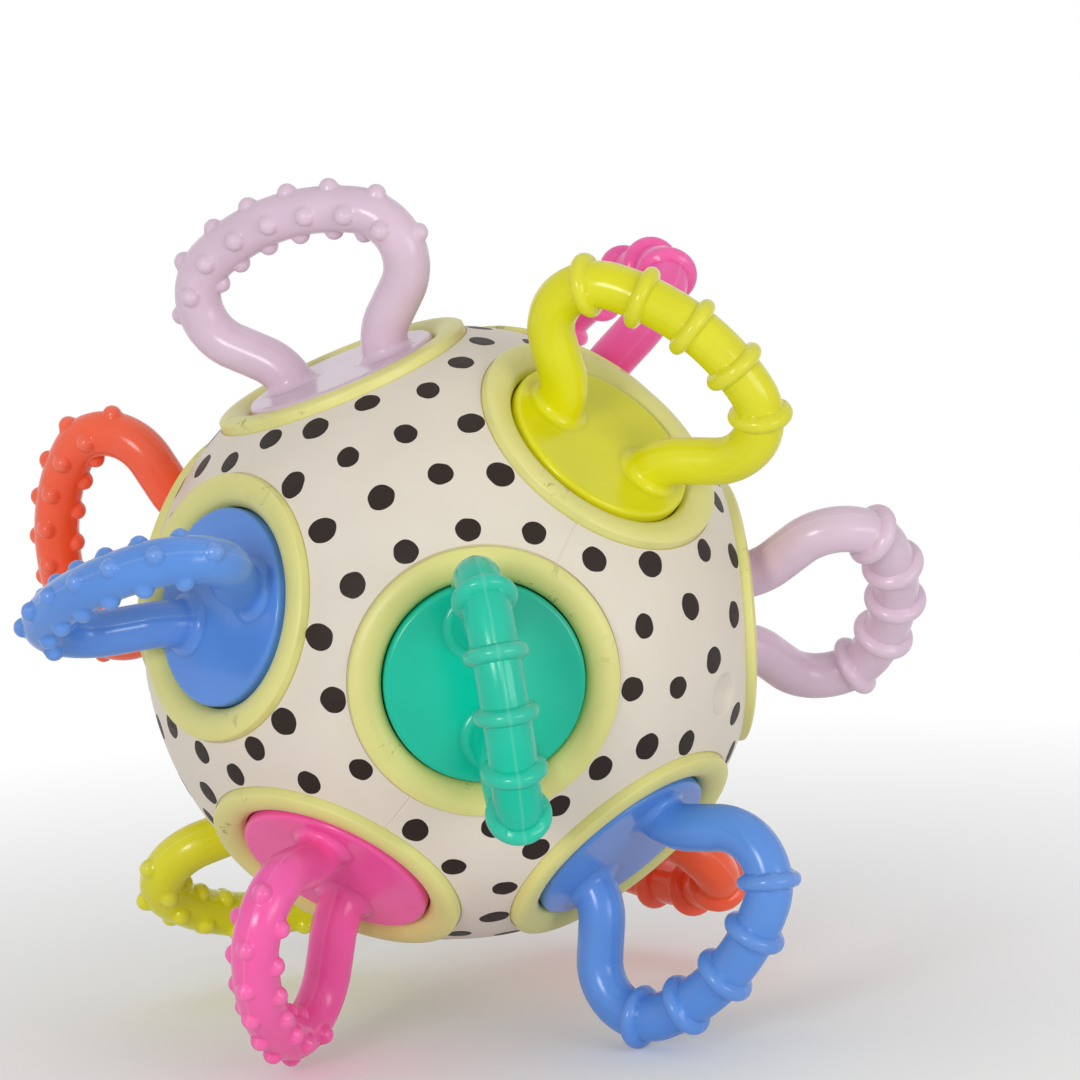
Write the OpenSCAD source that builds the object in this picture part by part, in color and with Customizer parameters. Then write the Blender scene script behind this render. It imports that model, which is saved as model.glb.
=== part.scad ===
// Sensory ball: a hollow ball in two shell halves with twelve soft loop handles.
// Each handle stands on a plunger that turns and pulls out in a socket of the ball.
// All lengths are millimetres. The origin is the centre of the ball and Z points up.

/* [Ball] */
// Outer diameter of the ball
ball_d = 90; // [86:1:100]
// Wall thickness of the two shell halves
shell_wall = 2.4; // [1.8:0.1:3]
// Depth of the fine groove that runs along the parting line
seam_groove = 0.3; // [0.1:0.1:0.6]

/* [Sockets] */
// Width of the flat seat of a bezel ring round its socket
seat_w = 3.3; // [3:0.1:3.6]
// Wall thickness of a socket
socket_wall = 1.5; // [1.2:0.1:1.8]
// Thickness of the ledge at the bottom of a socket
ledge_t = 1.6; // [1.2:0.1:2]
// Diameter of the opening in the ledge
ledge_d = 18; // [16:0.5:22]
// Width of the three keys that keep a slider from turning
key_w = 3; // [2:0.5:4]
// Length by which a key stands out of the slider's rim
key_out = 0.8; // [0.6:0.1:1]

/* [Bezels] */
// Bare land between two neighbouring bezel rings, measured over the ball
ring_land = 7.45; // [6:0.05:9]
// Width of a bezel ring from its opening to its outer side
ring_w = 4.7; // [4.5:0.1:4.9]
// Height of the straight outer side of a bezel ring
bezel_side = 1.2; // [0.8:0.1:1.6]
// Height of the opening's edge above the ring's outer foot
bezel_lip = 0.1; // [0:0.1:0.6]
// Radius of the rounded top of a bezel ring
crown_r = 3.1; // [2.8:0.1:5]
// Wall of the skirt that plugs a bezel ring into its socket
skirt_wall = 1.25; // [1:0.05:1.3]
// Radial gap round a bezel ring in its recess
bezel_gap = 0.2; // [0.1:0.05:0.3]

/* [Plungers] */
// Distance that a plunger pulls out of its socket
travel = 3; // [2:0.25:3.5]
// Height of a plunger's face above the edge of the bezel opening
face_rise = 1.6; // [0.6:0.1:2.4]
// Radial gap between a plunger and its bezel ring
plunger_gap = 0.45; // [0.35:0.05:0.7]
// Thickness of a plunger's face
face_t = 2.5; // [2:0.1:3]
// Depth of a plunger's side wall below its face
cup_depth = 5.8; // [5:0.1:6]
// Wall of a plunger's side
cup_wall = 1.5; // [1.2:0.1:2]
// Height of a plunger's lower edge above its slider
cup_lift = 2.1; // [1.8:0.1:2.6]
// Radius on the rim of a plunger's face
rim_r = 0.8; // [0.4:0.1:1.2]
// Diameter of the boss that takes the swivel screw
boss_d = 9.2; // [8.6:0.1:12]

/* [Loops] */
// Diameter of the loop handle's round section
loop_d = 6.8; // [6:0.1:7.2]
// Distance from the rim of a plunger's face to the side of a foot
foot_inset = 2.85; // [2.6:0.05:3.2]
// Radius of the bend at each foot
foot_bend = 8.4; // [7:0.1:10]
// Angle by which a loop's legs flare outwards
flare = 49; // [40:1:56]
// Length of the straight stretch of each leg
leg = 4.8; // [3:0.1:7]
// Radius of the two shoulders of a loop
shoulder_r = 7.8; // [6.5:0.1:9]
// Radius of the long top arc of a loop
top_r = 30.8; // [24:0.1:40]
// Size of the blend between a foot and the plunger's face
foot_blend = 2.2; // [1:0.1:2.6]

/* [Texture of the loops] */
// Diameter of a nub
nub_d = 2.9; // [2:0.1:3.4]
// Height of a nub above the loop
nub_h = 1.2; // [0.6:0.1:1.4]
// Distance between nubs along the middle of the loop
nub_pitch = 6; // [5:0.1:6.4]
// Outer diameter of a rib
rib_d = 9.3; // [8:0.1:10]
// Width of a rib
rib_w = 2.4; // [1.6:0.1:3]
// Distance between ribs along the middle of the loop
rib_pitch = 8.2; // [7:0.1:9]

/* [Sliders and screws] */
// Thickness of a slider's disc
slider_t = 1.6; // [1.4:0.1:2]
// Radial gap between a slider and its socket
slider_gap = 0.4; // [0.35:0.05:0.6]
// Gap between a resting piece and its seat
seat_gap = 0.3; // [0.25:0.05:0.4]
// Diameter of the swivel screw's shoulder
shoulder_d = 8; // [7:0.1:8.4]
// Radial clearance of the shoulder in the slider
swivel_clear = 0.05; // [0.03:0.01:0.1]
// Diameter of the swivel screw's head
head_d = 14; // [12:0.5:15]
// Thickness of the swivel screw's head
head_t = 1.6; // [1.2:0.1:2]
// Diameter of the swivel screw's thread
thread_d = 3; // [2.5:0.1:4]
// Length of the swivel screw's thread
thread_l = 5; // [4:0.5:6]

/* [Case screws] */
// Gap between a case screw's boss and the sockets beside it
case_gap = 0.95; // [0.6:0.05:1.5]
// Outer diameter of a screw boss
case_boss_d = 9; // [8.6:0.1:9.4]
// Diameter of the plugged screw well
well_d = 6.6; // [6.2:0.1:7]
// Distance from the parting plane to the floor of a screw well
well_floor = 9; // [7:0.5:12]
// Diameter of a case screw's head
case_head_d = 5.8; // [5:0.1:6]
// Thickness of a case screw's head
case_head_t = 1.8; // [1.4:0.1:2.4]
// Diameter of a case screw's thread
case_thread_d = 2.8; // [2.5:0.1:3]
// Length of a case screw below its head
case_screw_l = 17; // [14:0.5:18]
// Thickness of a screw plug
plug_t = 3; // [2:0.1:4]
// Depth of the dish in a screw plug's face
plug_dish = 0.6; // [0.3:0.1:0.9]

/* [Hidden] */
$fn = 48;
// Facets of the large sphere that shapes the small plugs
fine = 180;

CREAM = [0.85, 0.82, 0.76];
LIME = [0.86, 0.86, 0.54];
STEEL = [0.72, 0.73, 0.75];
GREY = [0.80, 0.80, 0.78];
PINK = [0.92, 0.34, 0.59];
TEAL = [0.06, 0.73, 0.62];
YELLOW = [0.83, 0.80, 0.14];
BLUE = [0.33, 0.52, 0.81];
PURPLE = [0.80, 0.69, 0.78];
ORANGE = [0.95, 0.37, 0.26];

// Six sockets lie on the parting line and three on each half, each a sixth of a turn from its
// nearest neighbours, so the two groups of three lie at the angle of close-packed balls.
polar_lat = atan(sqrt(2));
// Name, colour, azimuth, latitude and spin of every pod, seen from the axis of the parting line
PODS = [
    ["pink_nubbed", PINK, 0, 0, 124],
    ["teal_ribbed", TEAL, 60, 0, 131],
    ["yellow_ribbed", YELLOW, 120, 0, 170],
    ["pink_ribbed", PINK, 180, 0, 99],
    ["teal_nubbed", TEAL, 240, 0, 45],
    ["yellow_nubbed", YELLOW, 300, 0, 145],
    ["blue_nubbed", BLUE, 30, polar_lat, 67],
    ["purple_nubbed", PURPLE, 150, polar_lat, 152],
    ["orange_nubbed", ORANGE, 270, polar_lat, 33],
    ["blue_ribbed", BLUE, 30, -polar_lat, 83],
    ["purple_ribbed", PURPLE, 150, -polar_lat, 41],
    ["orange_ribbed", ORANGE, 270, -polar_lat, 8]
];
NUBBED = [0, 4, 5, 6, 7, 8];
// The ball lies with the teal ribbed pod in front and four pods below
heading = -150;
case_azimuths = [90, 210, 330];
key_count = 3;
key_turn = 20;

// Overrun of a cut past the face that it opens
over = 1;
// Overlap of two neighbouring bars of a loop, and how much thinner the straight and the long one are
join_l = 0.3;
join_step = 0.02;
ball_r = ball_d / 2;
// Neighbouring pods stand 60 degrees apart, and the rings between them leave the land free
bezel_r = ball_r * sin(30 - ring_land / ball_r / 2 * 180 / PI);
opening_r = bezel_r - ring_w;
bore_r = bezel_r - seat_w;
socket_r = bore_r + socket_wall;
plunger_r = opening_r - plunger_gap;
loop_r = loop_d / 2;
foot_gap = 2 * (plunger_r - foot_inset - loop_r);

// Heights along a pod's axis, from the ball's centre
foot_z = sqrt(ball_r * ball_r - bezel_r * bezel_r);
seat_z = foot_z - seat_gap;
lip_z = foot_z + bezel_lip;
face_z = lip_z + face_rise;
cup_z = face_z - cup_depth;
slider_z = cup_z - cup_lift - slider_t;
ledge_z = slider_z - seat_gap;
skirt_z = slider_z + slider_t + travel + seat_gap;
head_z = slider_z - seat_gap;
boss_z = slider_z + slider_t + seat_gap;
// The case screws stand halfway between two pods, 30 degrees from each, just inside their sockets
case_r = (ledge_z - ledge_t - case_boss_d / 2 - case_gap) / cos(30);

function is_nubbed(i) = len(search(i, NUBBED)) > 0;

// Puts a pod's own frame, with Z along its axis, into its place on the ball
module at_pod(i) {
    rotate([0, 90 - PODS[i][3], PODS[i][2]])
        children();
}

// Lays the ball down from the frame of its parting line
module lay() {
    rotate([0, -polar_lat, 0])
        rotate([0, 0, heading])
            children();
}

// A round body with its bottom at height z0 and its top at height z1
module drum(r, z0, z1) {
    translate([0, 0, z0])
        cylinder(r = r, h = z1 - z0);
}

// The outline of a loop: foot bend, straight leg, shoulder and half of the top arc
foot_root = face_t / 2;
foot_c = [foot_gap / 2 + foot_bend, -foot_root];
leg_a = foot_c + foot_bend * [-cos(flare), sin(flare)];
leg_b = leg_a + leg * [sin(flare), cos(flare)];
shoulder_c = leg_b + shoulder_r * [-cos(flare), sin(flare)];
top_c = [0, shoulder_c[1] - sqrt(pow(top_r - shoulder_r, 2) - pow(shoulder_c[0], 2))];
join_angle = atan2(shoulder_c[1] - top_c[1], shoulder_c[0]);
join_turn = join_l / top_r * 180 / PI;
half_top = top_r * (90 - join_angle) * PI / 180;

// Angle of the outward normal at a distance along the loop from the middle of its top
function normal_at(s) = abs(s) < half_top
    ? 90 - s / top_r * 180 / PI
    : 90 - sign(s) * (90 - join_angle + (abs(s) - half_top) / shoulder_r * 180 / PI);
// Centre of the loop's section at that distance
function point_at(s) = let (a = normal_at(s), n = [cos(a), sin(a)])
    abs(s) < half_top ? top_c + top_r * n
    : [sign(s) * shoulder_c[0], shoulder_c[1]] + shoulder_r * n;

// Carries a shape to the loop's centreline, with X along the outward normal
module along_loop(s) {
    p = point_at(s);
    translate([p[0], 0, p[1]])
        rotate([0, -normal_at(s), 0])
            children();
}

// A bent round bar in the plane of the loop
module bend(centre, r, from, sweep, thick = loop_r) {
    translate([centre[0], 0, centre[1]])
        rotate([90, 0, 0])
            rotate([0, 0, from])
                rotate_extrude(angle = sweep)
                    translate([r, 0])
                        circle(r = thick);
}

// One side of the loop up to the start of the top arc
module loop_side() {
    bend(foot_c, foot_bend, 180 - flare, flare);
    translate([leg_a[0], 0, leg_a[1]])
        rotate([0, flare, 0])
            drum(loop_r - join_step, -join_l, leg + join_l);
    bend(shoulder_c, shoulder_r, -flare, flare + join_angle);
    blend_foot();
}

// Hollow blend between a foot and the plunger's face
module blend_foot() {
    reach = foot_blend * sqrt(2);
    back = foot_blend / 2 + sqrt(reach * reach - foot_blend * foot_blend / 2) / sqrt(2);
    translate([foot_gap / 2, 0, 0])
        rotate_extrude()
            difference() {
                translate([0, -foot_root])
                    square([loop_r + foot_blend, foot_root + foot_blend]);
                translate([loop_r + back, back])
                    circle(r = reach);
            }
}

module loop_bar() {
    loop_side();
    mirror([1, 0, 0])
        loop_side();
    bend(top_c, top_r, join_angle - join_turn, 180 - 2 * (join_angle - join_turn), loop_r - join_step);
}

// Rows of round nubs on the outer edge, on both faces and on the inner edge
module nubs() {
    sink = nub_d / 2 - nub_h;
    for (k = [-3.5:1:3.5])
        along_loop(k * nub_pitch)
            translate([loop_r - sink, 0, 0])
                sphere(d = nub_d);
    for (k = [-3:1:3], side = [-1, 1])
        along_loop(k * nub_pitch)
            translate([0, side * (loop_r - sink), 0])
                sphere(d = nub_d);
    for (k = [-2.5:1:2.5])
        along_loop(k * nub_pitch)
            translate([sink - loop_r, 0, 0])
                sphere(d = nub_d);
}

// Round ribs that run round the top of the loop
module ribs() {
    for (k = [-2:1:2])
        along_loop(k * rib_pitch)
            rotate_extrude()
                translate([(rib_d - rib_w) / 2, 0])
                    circle(d = rib_w);
}

// The plunger that a loop stands on: a cup with a boss for the swivel screw
module plunger() {
    r = plunger_r;
    difference() {
        rotate_extrude()
            difference() {
                translate([0, cup_z])
                    square([r, cup_depth]);
                translate([r - rim_r, face_z - rim_r])
                    difference() {
                        square([rim_r + over, rim_r + over]);
                        circle(r = rim_r);
                    }
            }
        drum(r - cup_wall, cup_z - over, face_z - face_t);
    }
}

module plunger_boss() {
    drum(boss_d / 2, boss_z, face_z - face_t / 2);
}

module loop(i) {
    color(PODS[i][1])
        lay()
            at_pod(i)
                rotate([0, 0, PODS[i][4]])
                    difference() {
                        union() {
                            plunger();
                            plunger_boss();
                            translate([0, 0, face_z]) {
                                loop_bar();
                                if (is_nubbed(i)) nubs();
                                else ribs();
                            }
                        }
                        drum(thread_d / 2 + swivel_clear, boss_z - over, boss_z + thread_l + swivel_clear);
                    }
}

// The rounded ring round an opening, with the skirt that plugs into the socket
module bezel(i) {
    shoulder = [bezel_r, foot_z + bezel_side];
    lip = [opening_r, lip_z];
    chord = norm(shoulder - lip);
    away = [lip[1] - shoulder[1], shoulder[0] - lip[0]] / chord;
    centre = (shoulder + lip) / 2 - away * sqrt(crown_r * crown_r - chord * chord / 4);
    skirt_r = opening_r + skirt_wall;
    color(LIME)
        lay()
            at_pod(i)
                rotate_extrude() {
                    polygon([
                        [opening_r, skirt_z], [skirt_r, skirt_z], [skirt_r, seat_z],
                        [bezel_r, seat_z], shoulder, lip
                    ]);
                    intersection() {
                        translate(centre)
                            circle(r = crown_r);
                        polygon([lip, shoulder, shoulder + away * crown_r, lip + away * crown_r]);
                    }
                }
}

// The keyed disc that slides in a socket and carries the swivel screw
module slider(i) {
    r = bore_r - slider_gap;
    color(GREY)
        lay()
            at_pod(i)
                translate([0, 0, slider_z])
                    linear_extrude(slider_t)
                        difference() {
                            union() {
                                circle(r = r);
                                keys(key_w, r + key_out);
                            }
                            circle(r = shoulder_d / 2 + swivel_clear);
                        }
}

// Outline of three bars of width w that reach out from a pod's axis
module keys(w, reach) {
    for (k = [0:key_count - 1])
        rotate(key_turn + k * 360 / key_count)
            translate([0, -w / 2])
                square([reach, w]);
}

// Shouldered screw on which the plunger turns
module swivel_screw(i) {
    color(STEEL)
        lay()
            at_pod(i) {
                drum(head_d / 2, head_z - head_t, head_z);
                drum(shoulder_d / 2, head_z - head_t / 2, boss_z);
                drum(thread_d / 2, boss_z - seat_gap, boss_z + thread_l);
            }
}

// Everything that a pod takes out of the shells: the ledge's opening, the bore, the flat recess
// under the bezel ring, and three key grooves that run a little into the ledge
module pod_bore(i) {
    recess_r = bezel_r + bezel_gap;
    at_pod(i) {
        rotate_extrude()
            polygon([
                [0, ledge_z - ledge_t - over], [ledge_d / 2, ledge_z - ledge_t - over],
                [ledge_d / 2, ledge_z], [bore_r, ledge_z], [bore_r, seat_z], [recess_r, seat_z],
                [recess_r, ball_r + over], [0, ball_r + over]
            ]);
        translate([0, 0, ledge_z - seat_gap])
            linear_extrude(ball_r)
                keys(key_w + 2 * slider_gap, bore_r + key_out);
    }
}

// A whole socket, from below its ledge up into the shell's wall
module pod_socket(i) {
    at_pod(i)
        drum(socket_r, ledge_z - ledge_t, foot_z);
}

// The half of a socket on the parting line that lies on one side of it
module half_socket(i, side) {
    at_pod(i)
        rotate([0, 0, side * 90])
            rotate_extrude(angle = 180)
                translate([0, ledge_z - ledge_t])
                    square([socket_r, foot_z - ledge_z + ledge_t]);
}

// A case screw boss, from the parting plane into the shell's wall
module case_boss(a, side) {
    intersection() {
        sphere(r = ball_r - shell_wall / 2);
        rotate([0, 0, a])
            translate([case_r, 0, side < 0 ? -ball_r : 0])
                cylinder(d = case_boss_d, h = ball_r);
    }
}

module case_well(a) {
    rotate([0, 0, a])
        translate([case_r, 0, 0]) {
            drum(well_d / 2, -ball_r, -well_floor);
            drum(case_thread_d / 2 + seat_gap, -ball_r, over);
        }
}

module case_pilot(a) {
    rotate([0, 0, a])
        translate([case_r, 0, 0])
            drum(case_thread_d / 2 + swivel_clear, -over, case_screw_l - well_floor + over);
}

// One shell half: side is 1 for the half with the screw pilots and -1 for the half with the wells
module shell_half(side) {
    lay()
        difference() {
            union() {
                rotate([side > 0 ? 0 : 180, 0, 0])
                    rotate([0, 0, side * case_azimuths[0]])
                        dome();
                for (i = [0:len(PODS) - 1])
                    if (PODS[i][3] == 0) half_socket(i, side);
                    else if (PODS[i][3] * side > 0) pod_socket(i);
                for (a = case_azimuths) case_boss(a, side);
            }
            for (i = [0:len(PODS) - 1])
                if (PODS[i][3] * side >= 0) pod_bore(i);
            for (a = case_azimuths)
                if (side < 0) case_well(a);
                else case_pilot(a);
            seam();
        }
}

// The bare wall of one shell half
module dome() {
    rotate_extrude()
        intersection() {
            difference() {
                circle(r = ball_r);
                circle(r = ball_r - shell_wall);
            }
            square(ball_d);
        }
}

// V groove round the outside of the parting plane
module seam() {
    rotate_extrude()
        polygon([
            [ball_r - seam_groove, 0],
            [ball_r + seam_groove, 2 * seam_groove],
            [ball_r + seam_groove, -2 * seam_groove]
        ]);
}

module shell_upper() {
    color(CREAM)
        shell_half(1);
}

module shell_lower() {
    color(CREAM)
        shell_half(-1);
}

module case_screws() {
    color(STEEL)
        lay()
            for (a = case_azimuths)
                rotate([0, 0, a])
                    translate([case_r, 0, 0]) {
                        drum(case_head_d / 2, -well_floor - case_head_t, -well_floor);
                        drum(case_thread_d / 2, -well_floor - case_head_t / 2, case_screw_l - well_floor);
                    }
}

// Dished plugs that close the screw wells
module screw_plugs() {
    r = well_d / 2 - swivel_clear;
    wall_z = sqrt(ball_r * ball_r - pow(case_r + r, 2));
    color(CREAM)
        lay()
            for (a = case_azimuths)
                rotate([0, 0, a])
                    difference() {
                        intersection() {
                            translate([case_r, 0, 0])
                                drum(r, -ball_r, plug_t - wall_z);
                            sphere(r = ball_r - plug_dish, $fn = fine);
                        }
                        translate([case_r, 0, 0])
                            drum(over / 2, -ball_r, -ball_r + over / 2);
                    }
}

shell_upper();
shell_lower();
case_screws();
screw_plugs();
for (i = [0:len(PODS) - 1]) {
    loop(i);
    bezel(i);
    slider(i);
    swivel_screw(i);
}
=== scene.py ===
"""Sensory ball: a dotted hollow ball with twelve soft ring handles in lime bezel rings.

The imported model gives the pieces, their bodies and their joints. Here the ball's skin, its printed dots,
the bezel rings, the handles with their plungers and the screw plugs are made again as fine surfaces,
and every piece gets its plastic, silicone, ink or steel. Lengths are metres; a number of millimetres is
written times MM.
"""

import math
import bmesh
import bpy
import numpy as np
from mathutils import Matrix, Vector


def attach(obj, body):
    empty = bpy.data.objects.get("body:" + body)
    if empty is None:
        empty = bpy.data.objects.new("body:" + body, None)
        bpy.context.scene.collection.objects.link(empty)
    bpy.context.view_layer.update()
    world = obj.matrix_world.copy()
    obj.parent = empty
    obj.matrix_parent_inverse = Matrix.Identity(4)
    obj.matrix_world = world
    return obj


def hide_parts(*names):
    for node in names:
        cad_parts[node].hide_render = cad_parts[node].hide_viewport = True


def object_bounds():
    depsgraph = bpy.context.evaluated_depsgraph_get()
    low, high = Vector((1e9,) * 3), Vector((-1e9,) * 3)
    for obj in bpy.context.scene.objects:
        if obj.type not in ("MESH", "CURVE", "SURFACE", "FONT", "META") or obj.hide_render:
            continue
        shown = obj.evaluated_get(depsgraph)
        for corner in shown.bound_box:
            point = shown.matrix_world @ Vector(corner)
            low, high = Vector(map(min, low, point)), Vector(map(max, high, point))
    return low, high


bl_info = {
    "name": "Sensory Ball",
    "version": (1, 0, 0),
    "blender": (4, 5, 0),
    "location": "View3D > Sidebar > Sensory Ball",
    "description": "Dresses the sensory ball: dotted shell, bezel rings, ring handles and studio",
    "category": "Object",
}

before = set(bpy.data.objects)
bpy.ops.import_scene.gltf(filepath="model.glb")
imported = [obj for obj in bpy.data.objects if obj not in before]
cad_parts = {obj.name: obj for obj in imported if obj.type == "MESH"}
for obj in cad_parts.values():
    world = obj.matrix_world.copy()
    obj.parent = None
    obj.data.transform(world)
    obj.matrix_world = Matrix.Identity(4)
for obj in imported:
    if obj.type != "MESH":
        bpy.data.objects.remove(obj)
CAD_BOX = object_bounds()

MM = 0.001

# Six sockets lie on the parting line and three on each half, at the latitude of close-packed balls
POLAR_LATITUDE = math.degrees(math.atan(math.sqrt(2)))
# Turn of the ball about the axis of its parting line, in degrees
HEADING = -150
# Name, azimuth and side seen from the axis of the parting line, and turn of the handle in degrees
PODS = (
    ("pink_nubbed", 0, 0, 124),
    ("teal_ribbed", 60, 0, 131),
    ("yellow_ribbed", 120, 0, 170),
    ("pink_ribbed", 180, 0, 99),
    ("teal_nubbed", 240, 0, 45),
    ("yellow_nubbed", 300, 0, 145),
    ("blue_nubbed", 30, 1, 67),
    ("purple_nubbed", 150, 1, 152),
    ("orange_nubbed", 270, 1, 33),
    ("blue_ribbed", 30, -1, 83),
    ("purple_ribbed", 150, -1, 41),
    ("orange_ribbed", 270, -1, 8),
)
# Azimuths and latitude of the screw plugs, seen from the same axis, in degrees
PLUG_AZIMUTHS = (90, 210, 330)
PLUG_LATITUDE = 49

# Rows and columns of the grids
BALL_ROWS = 230
BALL_COLUMNS = 420
SEAT_STEPS = 7
DOT_COLUMNS = 36
PLUG_RINGS = 16
PLUG_COLUMNS = 64
CROWN_STEPS = 14
BEZEL_COLUMNS = 144
BAR_ROWS = 260
BLEND_ROWS = 14
LEAN_ROWS = 20
BAR_COLUMNS = 96
FACE_RINGS = 24
CUP_COLUMNS = 120
# The columns of a bar crowd towards its mould line by this share
CROWDING = 0.2

# Rows of the ball beside the parting line, in half widths of the line, and the margin of the even rows
SEAM_ROWS = (-2, -1, -0.5, 0, 0.5, 1, 2)
SEAM_MARGIN = 1.3

# Scatter of the dots: seed, number of darts, and steps, reach in pitches and strength of the push apart
DOT_SEED = 11
DARTS = 30000
DOT_STEPS = 28
DOT_REACH = 1.5
DOT_PUSH = 0.12
# Unevenness of a dot in shares of its radius: squash to an ellipse, then count and height of its waves
DOT_SQUASH = 0.06
DOT_WAVES = ((3, 0.018), (5, 0.012), (7, 0.008))
# Section of a dot's ink from its middle outwards and back underneath: share of its outline, height in mm
DOT_SECTION = ((0, 0.03), (0.5, 0.03), (0.9, 0.03), (0.985, 0.022), (1, 0.005), (1, -0.08), (0, -0.08))
# A slanting direction that no dot faces, square to which each dot gets its own axes
SLANT = (0.3, 0.4, 0.866)

# Turn of each row of nubs round the bar and places of its nubs along the bar, in pitches
NUB_ROWS = (
    (0.0, np.arange(-3.5, 4)), (math.pi / 2, np.arange(-3, 4)), (-math.pi / 2, np.arange(-3, 4)),
    (math.pi, np.arange(-2.5, 3)),
)
# Places of the ribs along the bar, in pitches
RIBS = np.arange(-2, 3)

# Half the width of the floor and the distances between which it fades into white, in metres
FLOOR_REACH = 4.0
FADE_START = 0.04
FADE_END = 0.24


def linear(red, green, blue):
    """Linear colour of an sRGB colour given in steps of 255, by the sRGB curve."""
    share = np.array([red, green, blue]) / 255
    return tuple(np.where(share <= 0.04045, share / 12.92, ((share + 0.055) / 1.055) ** 2.4))


def length(name, value, description):
    """A length property with its default in millimetres."""
    return bpy.props.FloatProperty(
        name=name, description=description, default=value * MM, min=0.0, unit="LENGTH", precision=5
    )


def tilt(name, value, description):
    """An angle property with its default in degrees."""
    return bpy.props.FloatProperty(
        name=name, description=description, default=math.radians(value), subtype="ANGLE"
    )


def number(name, value, description):
    """A plain number property."""
    return bpy.props.FloatProperty(name=name, description=description, default=value, min=0.0)


def colour(name, red, green, blue, description):
    """A colour property with its default as sRGB steps."""
    return bpy.props.FloatVectorProperty(
        name=name, description=description, default=linear(red, green, blue),
        subtype="COLOR", size=3, min=0.0, max=1.0,
    )


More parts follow.
